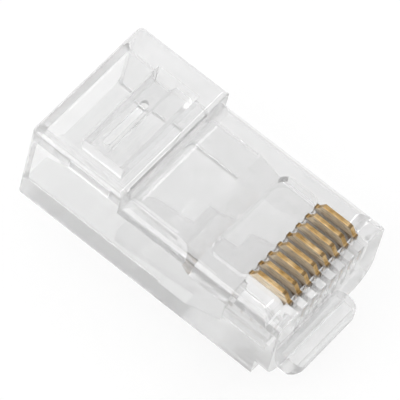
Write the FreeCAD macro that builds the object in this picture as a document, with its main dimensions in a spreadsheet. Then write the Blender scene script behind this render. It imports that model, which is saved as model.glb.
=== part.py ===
"""Unterminated 8P8C modular plug: a clear moulding with its latch and jacket bar, and eight raised blades.

Frame: X across the plug (blade 1 on the +X side), Y from the nose face back to the cable entry, Z up
from the latch-side face of the nose to the blades. Every size is in millimetres and comes from the sheet.
"""
import FreeCAD, Part
import math
import os

import Sketcher

DRIVING_SIZES = {
    # outer shape
    "body_width": 11.68,
    "body_length": 21.6,
    "nose_height": 6.6,
    "rear_height": 7.75,
    "rear_length": 7.75,
    "front_edge_round": 0.9,
    "rear_corner_round": 0.45,
    "rear_rim_round": 0.4,
    "nose_face_round": 0.12,
    "lead_in_round": 2.0,
    "lead_in_length": 1.1,
    # cable cavity, ramp and wire lanes
    "cavity_width": 9.0,
    "cavity_floor": 0.95,
    "cavity_ceiling": 5.65,
    "cavity_front": 9.65,
    "cavity_corner_round": 0.5,
    "mouth_chamfer": 0.4,
    "ramp_width": 8.8,
    "ramp_floor_start": 7.4,
    "ramp_end": 4.6,
    "ramp_end_floor": 2.1,
    "ramp_ceiling_run": 1.86,
    "ramp_ceiling_end": 4.2,
    "lane_top": 3.4,
    "lane_floor": 2.2,
    "lane_width": 0.92,
    "lane_round": 0.42,
    "lane_overrun": 0.6,
    "nose_wall": 0.95,
    # contacts
    "contact_pitch": 1.016,
    "contact_thickness": 0.36,
    "contact_front": 0.85,
    "contact_rear": 4.35,
    "contact_foot": 0.2,
    "contact_top": 7.35,
    "contact_foot_top": 6.7,
    "contact_foot_bottom": 6.15,
    "contact_root": 4.85,
    "contact_tip": 4.1,
    "contact_slope": 0.42,
    "contact_edge_round": 0.07,
    "contact_corner_cut": 0.3,
    "slot_clearance": 0.02,
    "slot_floor_gap": 0.1,
    "crimp_travel": 1.3,
    # pocket behind the contacts
    "pocket_width": 8.2,
    "pocket_front": 4.25,
    "pocket_rear": 7.5,
    "pocket_floor": 5.9,
    "pocket_round": 0.7,
    # window and jacket bar
    "window_width": 8.1,
    "window_setback": 1.25,
    "window_length": 3.5,
    "window_corner_round": 0.1,
    "bar_clearance": 0.05,
    "bar_bottom": 5.7,
    "bar_web": 0.35,
    "bar_top": 6.95,
    "bar_crown_front": 0.5,
    "bar_crown_rear": 1.7,
    "bar_slot_length": 4.6,
    "bar_slot_width": 0.6,
    "bar_slot_inset": 0.75,
    # latch and its root below the nose
    "root_width": 6.7,
    "root_reach": 1.16,
    "root_drop": 1.6,
    "root_rise": 0.3,
    "root_corner_round": 0.7,
    "hinge_back": 0.75,
    "hinge_drop": 1.05,
    "knuckle_radius": 0.5,
    "knuckle_clearance": 0.03,
    "seat_lip_back": 0.62,
    "latch_width": 6.2,
    "latch_shoulder": 7.9,
    "latch_taper": 0.1,
    "tail_width": 3.25,
    "tail_end": 15.4,
    "tail_top": 3.2,
    "tail_thickness": 0.7,
    "tail_corner_round": 0.6,
}
CONTACT_COUNT = 8
CUT_MARGIN = 2.0    # how far a cutting profile runs past the face it opens
TOUCH = 1e-4        # two coordinates closer than this are the same
CAVITY_SINK = 0.2   # how far a cut that joins the cavity runs into it


class Size:
    """A length that carries its value and the sheet expression it comes from."""

    def __init__(self, value, text):
        self.value = float(value)
        self.text = text

    def __add__(self, other):
        other = as_size(other)
        return Size(self.value + other.value, f"({self.text} + {other.text})")

    def __sub__(self, other):
        other = as_size(other)
        return Size(self.value - other.value, f"({self.text} - {other.text})")

    def __mul__(self, factor):
        return Size(self.value * factor, f"({self.text} * {factor})")

    def __neg__(self):
        return Size(-self.value, f"(-{self.text})")


def as_size(number):
    """Let a plain number stand next to sizes from the sheet."""
    if isinstance(number, Size):
        return number
    return Size(number, f"({number} mm)")


class Sizes:
    """The driving dimensions by name: `size.body_width` is that cell as a Size."""

    def __init__(self, sheet, table):
        for row, (alias, number) in enumerate(table.items(), start=1):
            sheet.set(f"A{row}", alias)
            sheet.set(f"B{row}", str(number))
            sheet.setAlias(f"B{row}", alias)
            setattr(self, alias, Size(number, f"{sheet.Name}.{alias} * 1 mm"))


doc = FreeCAD.newDocument("modular_plug")
sheet = doc.addObject("Spreadsheet::Sheet", "Dimensions")
size = Sizes(sheet, DRIVING_SIZES)
doc.recompute()


def vector(x, y, z=0.0):
    return FreeCAD.Vector(x, y, z)


def new_body(label, x_offset=None):
    """A body for one piece, moved across the plug by x_offset when there is one."""
    body = doc.addObject("PartDesign::Body", label)
    body.Label = label
    if x_offset is not None:
        body.setExpression("Placement.Base.x", x_offset.text)
    return body


def new_sketch(body, role, name, offset=None):
    """A sketch on one of the body's own origin planes, or at an offset along that plane's normal."""
    sketch = body.newObject("Sketcher::SketchObject", name)
    plane = next(feature for feature in body.Origin.OriginFeatures if feature.Role == role)
    sketch.AttachmentSupport = (plane, "")
    sketch.MapMode = "FlatFace"
    if offset is not None:
        sketch.setExpression("AttachmentOffset.Base.z", offset.text)
    return sketch


def place_point(sketch, geometry, point, across, up):
    """Tie one point of the sketch to the origin by two driven distances."""
    for kind, distance in (("DistanceX", across), ("DistanceY", up)):
        index = sketch.addConstraint(
            Sketcher.Constraint(kind, -1, 1, geometry, point, distance.value))
        sketch.setExpression(f"Constraints[{index}]", distance.text)


def draw_polygon(sketch, corners):
    """Add a closed outline whose every corner is driven by the sheet."""
    corners = [(as_size(across), as_size(up)) for across, up in corners]
    first = sketch.GeometryCount
    count = len(corners)
    for number, (across, up) in enumerate(corners):
        next_across, next_up = corners[(number + 1) % count]
        start = vector(across.value, up.value)
        end = vector(next_across.value, next_up.value)
        sketch.addGeometry(Part.LineSegment(start, end), False)
    for number in range(count):
        following = first + (number + 1) % count
        sketch.addConstraint(Sketcher.Constraint("Coincident", first + number, 2, following, 1))
    for number, (across, up) in enumerate(corners):
        place_point(sketch, first + number, 1, across, up)


def draw_rounded_rectangle(sketch, left, right, bottom, top, radius, low_radius=None):
    """Add a rectangle with round corners, tied to the origin by its four sides.

    The two bottom corners take low_radius when there is one.
    """
    first = sketch.GeometryCount
    low = low_radius or radius
    radii = [low.value, radius.value, radius.value, low.value]
    y_low, y_high = bottom.value + low.value, top.value - radius.value
    sides = [
        (vector(left.value + low.value, bottom.value), vector(right.value - low.value, bottom.value)),
        (vector(right.value, y_low), vector(right.value, y_high)),
        (vector(right.value - radius.value, top.value), vector(left.value + radius.value, top.value)),
        (vector(left.value, y_high), vector(left.value, y_low)),
    ]
    centres = [
        vector(right.value - low.value, y_low),
        vector(right.value - radius.value, y_high),
        vector(left.value + radius.value, y_high),
        vector(left.value + low.value, y_low),
    ]
    quarter = math.pi / 2
    for number, ((start, end), centre) in enumerate(zip(sides, centres)):
        circle = Part.Circle(centre, vector(0, 0, 1), radii[number])
        start_angle = (number - 1) * quarter
        sketch.addGeometry(Part.LineSegment(start, end), False)
        sketch.addGeometry(Part.ArcOfCircle(circle, start_angle, start_angle + quarter), False)
    for number in range(4):
        side = first + 2 * number
        arc = side + 1
        next_side = first + (2 * number + 2) % 8
        sketch.addConstraint(Sketcher.Constraint("Tangent", side, 2, arc, 1))
        sketch.addConstraint(Sketcher.Constraint("Tangent", arc, 2, next_side, 1))
        direction = "Horizontal" if number % 2 == 0 else "Vertical"
        sketch.addConstraint(Sketcher.Constraint(direction, side))
    drivers = [
        ("DistanceY", first, bottom),
        ("DistanceX", first + 2, right),
        ("DistanceY", first + 4, top),
        ("DistanceX", first + 6, left),
    ]
    for kind, side, distance in drivers:
        index = sketch.addConstraint(Sketcher.Constraint(kind, -1, 1, side, 1, distance.value))
        sketch.setExpression(f"Constraints[{index}]", distance.text)
    sketch.addConstraint(Sketcher.Constraint("Equal", first + 1, first + 7))
    sketch.addConstraint(Sketcher.Constraint("Equal", first + 3, first + 5))
    for arc, size_here in ((first + 1, low), (first + 3, radius)):
        index = sketch.addConstraint(Sketcher.Constraint("Radius", arc, size_here.value))
        sketch.setExpression(f"Constraints[{index}]", size_here.text)


def draw_circle(sketch, across, up, radius):
    """Add a circle with a driven centre and radius."""
    centre = vector(across.value, up.value)
    number = sketch.addGeometry(Part.Circle(centre, vector(0, 0, 1), radius.value), False)
    place_point(sketch, number, 3, across, up)
    index = sketch.addConstraint(Sketcher.Constraint("Radius", number, radius.value))
    sketch.setExpression(f"Constraints[{index}]", radius.text)


def pad(body, sketch, length, side="Symmetric", reverse=False):
    """Grow the sketch into a solid, both ways from its plane or to one side."""
    feature = body.newObject("PartDesign::Pad", sketch.Name + "_pad")
    feature.Profile = sketch
    feature.SideType = side
    feature.Reversed = reverse
    feature.setExpression("Length", length.text)
    doc.recompute()
    return feature


def pocket(body, sketch, length, side="Symmetric", reverse=False):
    """Cut the sketch out of the body, and make sure that it cut something."""
    before = body.Shape.Volume
    feature = body.newObject("PartDesign::Pocket", sketch.Name + "_pocket")
    feature.Profile = sketch
    feature.SideType = side
    feature.Reversed = reverse
    feature.setExpression("Length", length.text)
    doc.recompute()
    if feature.Shape.Volume >= before - TOUCH:
        raise RuntimeError(f"{feature.Name} cut nothing")
    return feature


def repeat_across(body, feature):
    """Repeat a lane or slot at every contact, from the -X one to the +X one."""
    pattern = body.newObject("PartDesign::LinearPattern", feature.Name + "_row")
    pattern.Originals = [feature]
    axis = next(item for item in body.Origin.OriginFeatures if item.Role == "X_Axis")
    pattern.Direction = (axis, [""])
    pattern.Occurrences = CONTACT_COUNT
    pattern.setExpression("Length", (size.contact_pitch * (CONTACT_COUNT - 1)).text)
    body.Tip = pattern
    doc.recompute()
    return pattern


def edges_where(feature, test, upright=False):
    """Names of the feature's edges whose two ends both pass the test, upright ones only if asked."""
    names = []
    for number, edge in enumerate(feature.Shape.Edges, start=1):
        ends = [vertex.Point for vertex in edge.Vertexes]
        if len(ends) != 2 or not all(test(end) for end in ends):
            continue
        if upright and math.hypot(ends[0].x - ends[1].x, ends[0].y - ends[1].y) > TOUCH:
            continue
        names.append(f"Edge{number}")
    return names


def round_edges(body, feature, test, radius, name, upright=False):
    """Fillet every edge of the feature that lies where the test says."""
    names = edges_where(feature, test, upright)
    if not names:
        raise RuntimeError(f"{name} found no edge")
    fillet = body.newObject("PartDesign::Fillet", name)
    fillet.Base = (feature, names)
    fillet.setExpression("Radius", radius.text)
    doc.recompute()
    if "Invalid" in fillet.State:
        raise RuntimeError(f"{name} could not be rounded")
    return fillet


def near(number, target):
    return abs(number - target.value) < TOUCH


HALF_WIDTH = size.body_width * 0.5
STEP_BACK = size.body_length - size.rear_length
WINDOW_FRONT = STEP_BACK + size.window_setback
WINDOW_REAR = WINDOW_FRONT + size.window_length
FIRST_CONTACT = size.contact_pitch * (-0.5 * (CONTACT_COUNT - 1))


def add_front_block(body):
    """The low front part behind the lead-in, round along both top edges."""
    outline = new_sketch(body, "YZ_Plane", "front_outline")
    draw_polygon(outline, [
        (size.lead_in_length, 0),
        (STEP_BACK, 0),
        (STEP_BACK, size.nose_height),
        (size.lead_in_length, size.nose_height),
    ])
    block = pad(body, outline, size.body_width)

    def on_top_edge(point):
        return near(abs(point.x), HALF_WIDTH) and near(point.z, size.nose_height)

    return round_edges(body, block, on_top_edge, size.front_edge_round, "front_edge_rounds")


def add_rear_block(body):
    """The higher rear part, with a round rim and round rear corners."""
    outline = new_sketch(body, "YZ_Plane", "rear_outline")
    draw_polygon(outline, [
        (STEP_BACK, 0),
        (size.body_length, 0),
        (size.body_length, size.rear_height),
        (STEP_BACK, size.rear_height),
    ])
    block = pad(body, outline, size.body_width)

    def on_upright(point):
        return near(abs(point.x), HALF_WIDTH) and near(point.y, size.body_length)

    def on_rim(point):
        return near(point.z, size.rear_height)

    block = round_edges(
        body, block, on_upright, size.rear_corner_round, "rear_upright_rounds", upright=True)
    return round_edges(body, block, on_rim, size.rear_rim_round, "rear_rim_rounds")


def add_lead_in(body):
    """The first stretch of the nose, round on all four corners, with a round rim to its face."""
    section = new_sketch(body, "XZ_Plane", "lead_in_section")
    draw_rounded_rectangle(
        section, -HALF_WIDTH, HALF_WIDTH, as_size(0), size.nose_height,
        size.front_edge_round, size.lead_in_round)
    nose = pad(body, section, size.lead_in_length, side="One side", reverse=True)

    def on_nose_rim(point):
        return near(point.y, as_size(0))

    return round_edges(body, nose, on_nose_rim, size.nose_face_round, "nose_rim_rounds")


def add_latch_root(body):
    """The boss below the nose that the latch bends from, with the round seat of its knuckle."""
    plan = new_sketch(body, "XY_Plane", "root_plan", -size.root_drop)
    draw_rounded_rectangle(
        plan, size.root_width * -0.5, size.root_width * 0.5,
        -size.root_reach, size.hinge_back * 2, size.root_corner_round)
    pad(body, plan, size.root_drop + size.root_rise, side="One side")
    before = size.root_reach + CUT_MARGIN
    below = size.root_drop + CUT_MARGIN
    sides = new_sketch(body, "YZ_Plane", "root_sides")
    draw_polygon(sides, [
        (0, size.root_rise),
        (size.root_reach * -0.75, 0),
        (-size.root_reach, size.root_drop * -0.3),
        (-before, size.root_drop * -0.3),
        (-before, size.root_rise + CUT_MARGIN),
        (0, size.root_rise + CUT_MARGIN),
    ])
    draw_polygon(sides, [
        (-size.root_reach, size.root_drop * -0.6),
        (size.root_reach * -0.35, -size.root_drop),
        (size.root_reach * -0.35, -below),
        (-before, -below),
        (-before, size.root_drop * -0.6),
    ])
    draw_polygon(sides, [
        (size.seat_lip_back, 0),
        (size.hinge_back * 3, 0),
        (size.hinge_back * 3, -below),
        (size.seat_lip_back, -below),
    ])
    pocket(body, sides, size.root_width + CUT_MARGIN)
    seat = new_sketch(body, "YZ_Plane", "knuckle_seat")
    draw_circle(seat, size.hinge_back, -size.hinge_drop, size.knuckle_radius + size.knuckle_clearance)
    return pocket(body, seat, size.root_width + CUT_MARGIN)


def cut_cable_cavity(body):
    """The cavity for the cable jacket, open at the rear with a chamfered mouth."""
    section = new_sketch(body, "XZ_Plane", "cavity_section", -size.body_length)
    draw_rounded_rectangle(
        section, size.cavity_width * -0.5, size.cavity_width * 0.5,
        size.cavity_floor, size.cavity_ceiling, size.cavity_corner_round)
    depth = size.body_length - size.cavity_front
    cavity = pocket(body, section, depth, side="One side", reverse=True)

    def on_mouth(point):
        inside = abs(point.x) < size.cavity_width.value * 0.5 + TOUCH
        return near(point.y, size.body_length) and inside and point.z < size.cavity_ceiling.value + TOUCH

    names = edges_where(cavity, on_mouth)
    chamfer = body.newObject("PartDesign::Chamfer", "mouth_chamfer")
    chamfer.Base = (cavity, names)
    chamfer.setExpression("Size", size.mouth_chamfer.text)
    doc.recompute()
    return chamfer


def cut_wire_ramp(body):
    """The funnel in front of the cavity: its ceiling falls and its floor rises to the wire lanes."""
    outline = new_sketch(body, "YZ_Plane", "ramp_outline")
    draw_polygon(outline, [
        (size.cavity_front + CAVITY_SINK, size.cavity_floor),
        (size.ramp_floor_start, size.cavity_floor),
        (size.ramp_end, size.ramp_end_floor),
        (size.ramp_end, size.ramp_ceiling_end),
        (size.cavity_front - size.ramp_ceiling_run, size.ramp_ceiling_end),
        (size.cavity_front, size.cavity_ceiling),
        (size.cavity_front + CAVITY_SINK, size.cavity_ceiling),
    ])
    return pocket(body, outline, size.ramp_width)


def cut_wire_lanes(body):
    """One tall round-ended lane per wire, from the ramp to just behind the nose face."""
    section = new_sketch(body, "XZ_Plane", "lane_section", -size.nose_wall)
    draw_rounded_rectangle(
        section, FIRST_CONTACT - size.lane_width * 0.5, FIRST_CONTACT + size.lane_width * 0.5,
        size.lane_floor, size.lane_top, size.lane_round)
    length = size.ramp_end + size.lane_overrun - size.nose_wall
    lane = pocket(body, section, length, side="One side")
    return repeat_across(body, lane)


def cut_top_pocket(body):
    """The shallow recess behind the contacts."""
    outline = new_sketch(body, "XY_Plane", "pocket_outline", size.pocket_floor)
    draw_rounded_rectangle(
        outline, size.pocket_width * -0.5, size.pocket_width * 0.5,
        size.pocket_front, size.pocket_rear, size.pocket_round)
    return pocket(body, outline, as_size(CUT_MARGIN), side="One side", reverse=True)


def cut_contact_slots(body):
    """One slot per contact: open on top and at the nose, with a well down to its wire lane."""
    outline = new_sketch(body, "YZ_Plane", "slot_outline", FIRST_CONTACT)
    above = size.contact_top + CUT_MARGIN
    foot_floor = size.contact_foot_bottom - size.crimp_travel - size.slot_floor_gap
    well_floor = size.lane_top - size.slot_floor_gap
    gap = size.slot_clearance
    well_front = size.contact_front + size.contact_foot - gap
    well_rear = size.contact_rear - size.contact_foot + gap
    slot_rear = size.contact_rear + gap
    draw_polygon(outline, [
        (-CUT_MARGIN, above),
        (-CUT_MARGIN, foot_floor),
        (well_front, foot_floor),
        (well_front, well_floor),
        (well_rear, well_floor),
        (well_rear, foot_floor),
        (slot_rear, foot_floor),
        (slot_rear, above),
    ])
    slot = pocket(body, outline, size.contact_thickness + gap * 2)
    return repeat_across(body, slot)


def cut_window(body):
    """The opening above the cavity that holds the jacket bar."""
    below = size.cavity_ceiling - CAVITY_SINK
    outline = new_sketch(body, "XY_Plane", "window_outline", below)
    draw_rounded_rectangle(
        outline, size.window_width * -0.5, size.window_width * 0.5,
        WINDOW_FRONT, WINDOW_REAR, size.window_corner_round)
    return pocket(body, outline, size.rear_height, side="One side", reverse=True)


def make_housing():
    body = new_body("housing")
    add_front_block(body)
    add_rear_block(body)
    add_lead_in(body)
    add_latch_root(body)
    cut_cable_cavity(body)
    cut_wire_ramp(body)
    cut_wire_lanes(body)
    cut_contact_slots(body)
    cut_top_pocket(body)
    cut_window(body)
    return body


def make_strain_relief_bar():
    """The jacket bar: a raised rib on a thin web, with a round-ended slot along its free edge."""
    body = new_body("strain_relief_bar")
    hinge = WINDOW_FRONT + size.bar_clearance
    free_edge = WINDOW_REAR - size.bar_clearance
    web_top = size.bar_bottom + size.bar_web
    outline = new_sketch(body, "YZ_Plane", "bar_outline")
    draw_polygon(outline, [
        (hinge, size.bar_bottom),
        (free_edge, size.bar_bottom),
        (free_edge, web_top),
        (hinge + size.bar_crown_rear + size.bar_crown_front, web_top),
        (hinge + size.bar_crown_rear, size.bar_top),
        (hinge + size.bar_crown_front, size.bar_top),
        (hinge, web_top),
    ])
    pad(body, outline, size.window_width - size.bar_clearance * 2)
    slot = new_sketch(body, "XY_Plane", "bar_slot", size.bar_bottom - CAVITY_SINK)
    slot_rear = WINDOW_REAR - size.bar_slot_inset + size.bar_slot_width * 0.5
    draw_rounded_rectangle(
        slot, size.bar_slot_length * -0.5, size.bar_slot_length * 0.5,
        slot_rear - size.bar_slot_width, slot_rear, size.bar_slot_width * 0.45)
    pocket(body, slot, as_size(CUT_MARGIN), side="One side", reverse=True)
    return body


def make_latch():
    """The release tab: a knuckle in the root's seat, a wide locking part and a narrow tail."""
    body = new_body("latch")
    knuckle = new_sketch(body, "YZ_Plane", "knuckle")
    draw_circle(knuckle, size.hinge_back, -size.hinge_drop, size.knuckle_radius)
    pad(body, knuckle, size.latch_width)
    arm = new_sketch(body, "YZ_Plane", "arm_outline")
    draw_polygon(arm, [
        (size.hinge_back, size.knuckle_radius - size.hinge_drop),
        (size.hinge_back, -size.knuckle_radius - size.hinge_drop),
        (size.tail_end, -size.tail_top - size.tail_thickness),
        (size.tail_end, -size.tail_top),
    ])
    pad(body, arm, size.latch_width)
    plan = new_sketch(body, "XY_Plane", "latch_plan")
    half_root = size.latch_width * 0.5
    half_shoulder = half_root - size.latch_taper
    half_tail = size.tail_width * 0.5
    beyond = size.latch_width + CUT_MARGIN
    draw_polygon(plan, [
        (-beyond, -2 * CUT_MARGIN),
        (beyond, -2 * CUT_MARGIN),
        (beyond, size.tail_end + 2 * CUT_MARGIN),
        (-beyond, size.tail_end + 2 * CUT_MARGIN),
    ])
    draw_polygon(plan, [
        (-half_root, -CUT_MARGIN),
        (half_root, -CUT_MARGIN),
        (half_shoulder, size.latch_shoulder),
        (half_tail, size.latch_shoulder),
        (half_tail, size.tail_end + CUT_MARGIN),
        (-half_tail, size.tail_end + CUT_MARGIN),
        (-half_tail, size.latch_shoulder),
        (-half_shoulder, size.latch_shoulder),
    ])
    trimmed = pocket(body, plan, (size.tail_top + size.tail_thickness) * 3)

    def on_tail_corner(point):
        return near(point.y, size.tail_end) and near(abs(point.x), half_tail)

    round_edges(body, trimmed, on_tail_corner, size.tail_corner_round, "tail_corner_rounds", upright=True)
    return body


def make_contact(number):
    """One blade: a raised contact edge, two feet and three points that pierce the wire below."""
    body = new_body(f"contact_{number}", -FIRST_CONTACT - size.contact_pitch * (number - 1))
    front, rear = size.contact_front, size.contact_rear
    foot = size.contact_foot
    slope = size.contact_slope
    cut = size.contact_corner_cut
    span = (rear - front - foot * 2 - cut * 2) * (1 / 6)
    outline = new_sketch(body, "YZ_Plane", f"blade_{number}")
    teeth = []
    for step in range(7):
        level = size.contact_tip if step % 2 else size.contact_root
        teeth.append((front + foot + cut + span * step, level))
    draw_polygon(outline, [
        (front, size.contact_foot_bottom),
        (front + foot, size.contact_foot_bottom),
        (front + foot, size.contact_root + cut),
        *teeth,
        (rear - foot, size.contact_root + cut),
        (rear - foot, size.contact_foot_bottom),
        (rear, size.contact_foot_bottom),
        (rear, size.contact_foot_top),
        (rear - foot, size.contact_foot_top),
        (rear - foot - slope, size.contact_top),
        (front + foot + slope, size.contact_top),
        (front + foot, size.contact_foot_top),
        (front, size.contact_foot_top),
    ])
    blade = pad(body, outline, size.contact_thickness)

    def on_contact_edge(point):
        return point.z > size.contact_foot_top.value - TOUCH and near(point.z, size.contact_top)

    round_edges(body, blade, on_contact_edge, size.contact_edge_round, f"contact_edge_{number}")
    return body


def check_and_export(bodies):
    """Stop on any failed object or bad shape, then write one file per piece."""
    doc.recompute()
    for item in doc.Objects:
        if "Invalid" in item.State or "Error" in item.State:
            raise RuntimeError(f"{item.Name} failed: {item.State}")
    for body in bodies:
        if body.Shape.isNull() or not body.Shape.isValid():
            raise RuntimeError(f"{body.Label} has no valid shape")
        if len(body.Shape.Solids) != 1:
            raise RuntimeError(f"{body.Label} isn't one solid")
    os.makedirs("parts", exist_ok=True)
    for body in bodies:
        body.Shape.exportStep(f"parts/{body.Label}.step")
        print(body.Label, round(body.Shape.Volume, 3), "cubic mm")


pieces = [make_housing(), make_strain_relief_bar(), make_latch()]
pieces += [make_contact(number) for number in range(1, CONTACT_COUNT + 1)]
check_and_export(pieces)
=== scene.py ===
"""A clear modular plug with gold blades, on a plain white table under soft light.

Everything is in metres. X runs across the plug, Y from the nose back to the cable entry, Z up to the blades.
"""
import math

import bpy
import numpy as np
from mathutils import Matrix, Vector


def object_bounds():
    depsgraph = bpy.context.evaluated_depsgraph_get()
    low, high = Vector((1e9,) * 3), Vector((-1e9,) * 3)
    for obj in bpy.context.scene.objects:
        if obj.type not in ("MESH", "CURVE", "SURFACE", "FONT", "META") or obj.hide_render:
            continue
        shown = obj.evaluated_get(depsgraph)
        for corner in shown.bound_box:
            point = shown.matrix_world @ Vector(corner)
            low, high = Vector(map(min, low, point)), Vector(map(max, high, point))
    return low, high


MM = 0.001

# ---------------------------------------------------------------- the blades' place in the plug

BLADE_MIDDLE = 2.6 * MM  # from the nose to the middle of a blade
BLADE_HALF_LENGTH = 1.77 * MM
FOOT_START = 1.62 * MM  # from a blade's middle to where a foot begins
CONTACT_EDGE = 7.35 * MM  # height of the raised edge that touches the jack's wires
CONTACT_EDGE_FRONT = 1.5 * MM  # from the nose to the front end of that edge
GRIP_MIDDLE = 5.6 * MM  # middle height of the walls between the blades
GRIP_HALF_HEIGHT = 1.02 * MM
GRIP_HALF_WIDTH = 3.6 * MM  # covers all walls between blades, but not the two outermost ones
PAINTED_SHADE_TOP, PALE_FOOT = 6.35 * MM, 6.65 * MM  # the heights between which the flat sides turn from brown, which is painted shade lower down between the blades, to pale


# ---------------------------------------------------------------- small helpers


def linear(hex_colour, alpha=1.0):
    """Linear RGBA from an sRGB hex colour: each channel goes through the sRGB decoding curve."""
    channels = [int(hex_colour[i : i + 2], 16) / 255 for i in (0, 2, 4)]
    decoded = [c / 12.92 if c <= 0.04045 else ((c + 0.055) / 1.055) ** 2.4 for c in channels]
    return (*decoded, alpha)


def node(tree, kind, settings=None, **links):
    """Adds one shader node. settings go to its properties or to its sockets by name or number, with a colour
    ramp's stops as pairs of position and sRGB hex. links join its input sockets (underscores for spaces, or
    in<number>) to output sockets of other nodes."""
    made = tree.nodes.new(kind)
    for name, value in (settings or {}).items():
        if name == "stops":
            elements = made.color_ramp.elements
            while len(elements) < len(value):
                elements.new(0.5)
            for element, (position, colour) in zip(elements, value):
                element.position, element.color = position, linear(colour)
        elif isinstance(name, str) and hasattr(made, name):
            setattr(made, name, value)
        else:
            made.inputs[name].default_value = value
    for name, source in links.items():
        key = int(name[2:]) if name.startswith("in") and name[2:].isdigit() else name.replace("_", " ")
        tree.links.new(source, made.inputs[key])
    return made


def new_material(name):
    """An empty node material and its tree."""
    material = bpy.data.materials.new(name)
    material.use_nodes = True
    material.node_tree.nodes.clear()
    return material, material.node_tree


# ---------------------------------------------------------------- patterns that mark a place on a piece


def within(tree, value, middle, reach):
    """1 where the value is within reach of the middle, else 0."""
    offset = node(tree, "ShaderNodeMath", {"operation": "SUBTRACT", 1: middle}, in0=value)
    away = node(tree, "ShaderNodeMath", {"operation": "ABSOLUTE"}, in0=offset.outputs[0])
    return node(tree, "ShaderNodeMath", {"operation": "LESS_THAN", 1: reach}, in0=away.outputs[0]).outputs[0]


def faces_sideways(tree):
    """1 on surfaces that face +X or -X, such as the flat sides of the blades and of their slots, else 0."""
    normal = node(tree, "ShaderNodeTexCoord").outputs["Normal"]
    across = node(tree, "ShaderNodeSeparateXYZ", Vector=normal).outputs["X"]
    size = node(tree, "ShaderNodeMath", {"operation": "ABSOLUTE"}, in0=across)
    least = 0.9  # of the normal's length, so that the rounds between the faces stay out
    return node(tree, "ShaderNodeMath", {"operation": "GREATER_THAN", 1: least}, in0=size.outputs[0]).outputs[0]


def blade_walls(tree, place):
    """1 on the slot walls between the blades, else 0: they face sideways and lie in the box round the blades."""
    axes = node(tree, "ShaderNodeSeparateXYZ", Vector=place).outputs
    mark = faces_sideways(tree)
    for axis, middle, reach in (
        ("X", 0.0, GRIP_HALF_WIDTH),
        ("Y", BLADE_MIDDLE, BLADE_HALF_LENGTH),
        ("Z", GRIP_MIDDLE, GRIP_HALF_HEIGHT),
    ):
        inside = within(tree, axes[axis], middle, reach)
        mark = node(tree, "ShaderNodeMath", {"operation": "MULTIPLY"}, in0=mark, in1=inside).outputs[0]
    return mark


def painted_shade_and_reflection(tree, place):
    """How much painted shade and a painted reflection darken a blade: painted shade at both feet, and a painted
    dark reflection at the front end of the raised contact edge, where it bends.
    """
    axes = node(tree, "ShaderNodeSeparateXYZ", Vector=place).outputs
    # painted shade at both feet, outside the stretch between them
    between_feet = within(tree, axes["Y"], BLADE_MIDDLE, FOOT_START)
    feet = node(tree, "ShaderNodeMath", {"operation": "SUBTRACT", 0: 1.0}, in1=between_feet)
    # the spot is a painted dark reflection in the bend at the front end of the contact edge
    spot_half_length, spot_half_height = 0.11 * MM, 0.12 * MM
    bend = within(tree, axes["Y"], CONTACT_EDGE_FRONT, spot_half_length)
    edge = within(tree, axes["Z"], CONTACT_EDGE, spot_half_height)
    spot = node(tree, "ShaderNodeMath", {"operation": "MULTIPLY"}, in0=bend, in1=edge)
    painted_dark = node(tree, "ShaderNodeMath", {"operation": "MAXIMUM"}, in0=feet.outputs[0], in1=spot.outputs[0])
    darkest = 0.75
    return node(tree, "ShaderNodeMath", {"operation": "MULTIPLY", 1: darkest}, in0=painted_dark.outputs[0]).outputs[0]


# ---------------------------------------------------------------- materials


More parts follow.
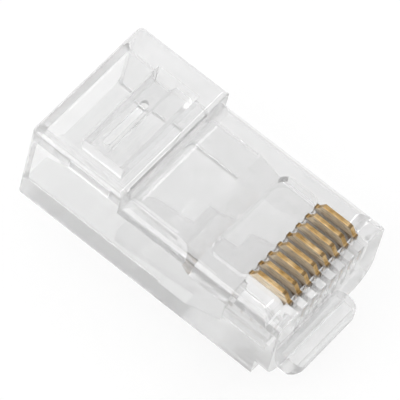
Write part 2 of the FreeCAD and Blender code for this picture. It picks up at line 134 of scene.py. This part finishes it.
def moulded_polycarbonate():
    """Clear injection-moulded polycarbonate: refractive index 1.585 and glossy, with faint ripples a couple of
    millimetres long and an uneven, slightly milky haze. Shadow and diffuse rays pass straight through, so that
    they reach what is inside. Rays that don't come straight from the camera also pass through the walls between
    the blades: a real blade is pressed in and touches them, which leaves no air gap to mirror in."""
    material, tree = new_material("moulded_polycarbonate")
    place = node(tree, "ShaderNodeTexCoord").outputs["Object"]
    stretched = node(tree, "ShaderNodeMapping", {"Scale": (1.0, 0.35, 1.0)}, Vector=place)
    ripple_length = 2.2 * MM
    ripple = node(
        tree,
        "ShaderNodeTexNoise",
        {"Scale": 1 / ripple_length, "Detail": 1.0, "Roughness": 0.4},
        Vector=stretched.outputs["Vector"],
    )
    haze_size = 1.3 * MM
    haze = node(
        tree,
        "ShaderNodeTexNoise",
        {"Scale": 1 / haze_size, "Detail": 3.0, "Roughness": 0.6},
        Vector=place,
    )
    polish = node(
        tree,
        "ShaderNodeMapRange",
        {"From Min": 0.35, "From Max": 0.75, "To Min": 0.03, "To Max": 0.08},
        Value=haze.outputs["Fac"],
    )
    bump = node(
        tree,
        "ShaderNodeBump",
        {"Strength": 0.05, "Distance": 0.05 * MM},
        Height=ripple.outputs["Fac"],
    )
    tint = node(
        tree,
        "ShaderNodeValToRGB",
        {"stops": [(0.3, "f5f5f5"), (0.7, "f0f0f0")]},
        Fac=haze.outputs["Fac"],
    )
    surface = node(
        tree,
        "ShaderNodeBsdfPrincipled",
        {"IOR": 1.585, "Transmission Weight": 0.82, "Metallic": 0.0},
        Base_Color=tint.outputs["Color"],
        Roughness=polish.outputs["Result"],
        Normal=bump.outputs["Normal"],
    )
    rays = node(tree, "ShaderNodeLightPath").outputs
    lit = node(
        tree,
        "ShaderNodeMath",
        {"operation": "MAXIMUM"},
        in0=rays["Is Shadow Ray"],
        in1=rays["Is Diffuse Ray"],
    )
    indirect = node(tree, "ShaderNodeMath", {"operation": "SUBTRACT", 0: 1.0}, in1=rays["Is Camera Ray"])
    gripped = node(
        tree,
        "ShaderNodeMath",
        {"operation": "MULTIPLY"},
        in0=indirect.outputs[0],
        in1=blade_walls(tree, place),
    )
    through = node(
        tree,
        "ShaderNodeMath",
        {"operation": "MAXIMUM"},
        in0=lit.outputs[0],
        in1=gripped.outputs[0],
    )
    passed = node(tree, "ShaderNodeBsdfTransparent", {"Color": linear("f3f3f3")})
    finish = node(
        tree,
        "ShaderNodeMixShader",
        in0=through.outputs[0],
        in1=surface.outputs["BSDF"],
        in2=passed.outputs[0],
    )
    node(tree, "ShaderNodeOutputMaterial", Surface=finish.outputs[0])
    return material


def gold_flashed_bronze():
    """A stamped phosphor bronze blade with a gold flash: patchy gold on its edges, with flat sides that are
    paler and less metallic, and brown lower down, which is painted shade between the blades. Fine draw lines run
    along the blade."""
    material, tree = new_material("gold_flashed_bronze")
    place = node(tree, "ShaderNodeTexCoord").outputs["Object"]
    drawn = node(tree, "ShaderNodeMapping", {"Scale": (1.0, 0.12, 1.0)}, Vector=place)
    line_spacing = 0.09 * MM  # coarser than real draw lines, so that they show
    lines = node(
        tree,
        "ShaderNodeTexNoise",
        {"Scale": 1 / line_spacing, "Detail": 2.0, "Roughness": 0.5},
        Vector=drawn.outputs["Vector"],
    ).outputs["Fac"]
    patch_size = 0.8 * MM
    patches = node(
        tree,
        "ShaderNodeTexNoise",
        {"Scale": 1 / patch_size, "Detail": 2.0, "Roughness": 0.6},
        Vector=place,
    ).outputs["Fac"]
    gold, pale, brown = (
        node(tree, "ShaderNodeValToRGB", {"stops": stops}, Fac=patches).outputs["Color"]
        for stops in (
            [(0.3, "9c7b49"), (0.5, "ba9a68"), (0.75, "d8bd92")],
            [(0.3, "d8c6ab"), (0.7, "ebdbc1")],
            [(0.3, "6f583f"), (0.7, "8b7253")],
        )
    )
    upper = node(
        tree,
        "ShaderNodeMapRange",
        {"From Min": PAINTED_SHADE_TOP, "From Max": PALE_FOOT},
        Value=node(tree, "ShaderNodeSeparateXYZ", Vector=place).outputs["Z"],
    ).outputs["Result"]
    flat_side = faces_sideways(tree)
    # lower down the flat sides turn brown: painted shade between the blades
    side = node(tree, "ShaderNodeMix", {"data_type": "RGBA"}, in0=upper, in6=brown, in7=pale).outputs[2]
    clean = node(tree, "ShaderNodeMix", {"data_type": "RGBA"}, in0=flat_side, in6=gold, in7=side).outputs[2]
    # the blade is mixed towards dark brown here: painted shade at the feet and a painted dark reflection at the
    # bend of the contact edge
    with_painted_dark = node(
        tree,
        "ShaderNodeMix",
        {"data_type": "RGBA", 7: linear("5c4830")},
        in0=painted_shade_and_reflection(tree, place),
        in6=clean,
    )
    metallic = node(tree, "ShaderNodeMapRange", {"To Min": 1.0, "To Max": 0.45}, Value=flat_side)
    gloss = node(
        tree,
        "ShaderNodeMapRange",
        {"From Min": 0.3, "From Max": 0.7, "To Min": 0.22, "To Max": 0.38},
        Value=lines,
    )
    bump = node(tree, "ShaderNodeBump", {"Strength": 0.2, "Distance": 0.01 * MM}, Height=lines)
    surface = node(
        tree,
        "ShaderNodeBsdfPrincipled",
        Base_Color=with_painted_dark.outputs[2],
        Metallic=metallic.outputs["Result"],
        Roughness=gloss.outputs["Result"],
        Normal=bump.outputs["Normal"],
    )
    node(tree, "ShaderNodeOutputMaterial", Surface=surface.outputs["BSDF"])
    return material


def matt_table():
    """A matt white melamine table top. Where it is looked at, also by reflection or through plastic, it is
    mostly plain white, and the rest takes the plug's shadow."""
    material, tree = new_material("matt_table")
    rays = node(tree, "ShaderNodeLightPath").outputs
    seen = rays["Is Camera Ray"]
    for kind in ("Is Transmission Ray", "Is Glossy Ray"):
        seen = node(tree, "ShaderNodeMath", {"operation": "MAXIMUM"}, in0=seen, in1=rays[kind]).outputs[0]
    colour = node(
        tree,
        "ShaderNodeMix",
        {"data_type": "RGBA", 6: linear("e9e9e9"), 7: linear("ffffff")},
        in0=seen,
    )
    surface = node(tree, "ShaderNodeBsdfDiffuse", Color=colour.outputs[2])
    white = node(tree, "ShaderNodeEmission", {"Color": linear("ffffff"), "Strength": 1.0})
    share = node(tree, "ShaderNodeMath", {"operation": "MULTIPLY", 1: 0.7}, in0=seen)
    finish = node(
        tree,
        "ShaderNodeMixShader",
        in0=share.outputs[0],
        in1=surface.outputs["BSDF"],
        in2=white.outputs[0],
    )
    node(tree, "ShaderNodeOutputMaterial", Surface=finish.outputs[0])
    return material


# ---------------------------------------------------------------- scene


def dress(frame):
    """Gives every CAD piece its finish."""
    plastic = moulded_polycarbonate()
    gold = gold_flashed_bronze()
    for name, piece in frame["nodes"].items():
        piece.data.materials.clear()
        piece.data.materials.append(gold if name.startswith("contact_") else plastic)


def make_table(height):
    """A flat square sheet at the height the latch rests on, wide enough to fill every view: the point for
    u and v, both -1 or 1, is (half u, half v, height)."""
    half = 0.6
    u, v = np.meshgrid([-1.0, 1.0], [-1.0, 1.0])
    corners = np.stack([half * u, half * v, np.full_like(u, height)], axis=-1).reshape(-1, 3)
    mesh = bpy.data.meshes.new("table_top")
    mesh.from_pydata(corners.tolist(), [], [(0, 1, 3, 2)])
    table = bpy.data.objects.new("table_top", mesh)
    bpy.context.scene.collection.objects.link(table)
    mesh.materials.append(matt_table())


def towards(azimuth, elevation):
    """Unit direction from the object: azimuth 0 is in front of the nose and 90 at its +X side."""
    a, e = math.radians(azimuth), math.radians(elevation)
    return Vector((math.sin(a) * math.cos(e), -math.cos(a) * math.cos(e), math.sin(e)))


def aim(thing, target, roll=0.0):
    """Turns a lamp or camera to look at the target, then rolls it about its line of sight."""
    forward = (target - thing.location).normalized()
    turn = forward.to_track_quat("-Z", "Y").to_matrix().to_4x4()
    thing.matrix_world = Matrix.Translation(thing.location) @ turn @ Matrix.Rotation(roll, 4, "Z")


def make_camera():
    """A long lens far away, so the plug's edges stay almost parallel. It stands a little aside and above the
    line to the target without turning, which frames the plug."""
    data = bpy.data.cameras.new("camera")
    camera = bpy.data.objects.new("camera", data)
    bpy.context.scene.collection.objects.link(camera)
    azimuth, elevation, roll = -65.235, 57.382, 16.598
    distance = 400 * MM
    field = 26.853 * MM
    aside, above = 0.0717 * MM, 0.1954 * MM
    data.sensor_width = 36
    data.lens = data.sensor_width * distance / field
    data.clip_start, data.clip_end = 0.01, 10
    middle = Vector((0, 11, 3.5)) * MM
    camera.location = middle + towards(azimuth, elevation) * distance
    aim(camera, middle, roll=math.radians(roll))
    turn = camera.matrix_world.to_3x3()
    camera.location += turn @ Vector((aside, above, 0))
    bpy.context.scene.camera = camera


def make_lamp(name, azimuth, elevation, width, power):
    """A square soft box aimed at the middle of the plug."""
    distance = 350 * MM
    data = bpy.data.lights.new(name, "AREA")
    data.size = width
    data.energy = power
    lamp = bpy.data.objects.new(name, data)
    bpy.context.scene.collection.objects.link(lamp)
    lamp.location = towards(azimuth, elevation) * distance
    aim(lamp, Vector((0, 11, 3)) * MM)


def light_room():
    """A pale studio: even light from the walls, white where they are looked at, a large soft box on the left
    that lights the blades' flat sides, and a small one on the right that draws the edges."""
    world = bpy.data.worlds.new("studio")
    bpy.context.scene.world = world
    world.use_nodes = True
    tree = world.node_tree
    tree.nodes.clear()
    rays = node(tree, "ShaderNodeLightPath").outputs
    direction = node(tree, "ShaderNodeTexCoord").outputs["Generated"]
    height = node(tree, "ShaderNodeSeparateXYZ", Vector=direction).outputs["Z"]
    walls = node(
        tree,
        "ShaderNodeValToRGB",
        {"stops": [(0.0, "f4f4f4"), (0.4, "f0f0f0"), (0.8, "ffffff")]},
        Fac=height,
    )
    room = node(tree, "ShaderNodeBackground", {"Strength": 0.94}, Color=walls.outputs["Color"])
    white = node(tree, "ShaderNodeBackground", {"Color": linear("ffffff"), "Strength": 1.0})
    seen = node(
        tree,
        "ShaderNodeMixShader",
        in0=rays["Is Camera Ray"],
        in1=room.outputs[0],
        in2=white.outputs[0],
    )
    node(tree, "ShaderNodeOutputWorld", Surface=seen.outputs[0])
    make_lamp("soft_box_left", -107, 40, width=220 * MM, power=0.3)
    make_lamp("soft_box_right", 81, 60, width=60 * MM, power=0.06)


def let_light_bounce():
    """Light caught in clear plastic reflects inside it many times, so its path may be long."""
    paths = bpy.context.scene.cycles
    paths.max_bounces = 40
    paths.glossy_bounces = 32
    paths.transmission_bounces = 32
    paths.transparent_max_bounces = 32


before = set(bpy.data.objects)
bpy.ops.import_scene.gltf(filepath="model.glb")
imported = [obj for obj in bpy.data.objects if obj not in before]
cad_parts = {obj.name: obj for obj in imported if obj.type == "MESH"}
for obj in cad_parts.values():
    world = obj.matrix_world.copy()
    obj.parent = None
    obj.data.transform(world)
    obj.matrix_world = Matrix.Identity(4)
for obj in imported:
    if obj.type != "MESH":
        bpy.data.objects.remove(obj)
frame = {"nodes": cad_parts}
cad_low, cad_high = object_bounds()
let_light_bounce()
bpy.context.scene.view_settings.view_transform = "Standard"
dress(frame)
make_table(cad_low.z)
make_camera()
light_room()
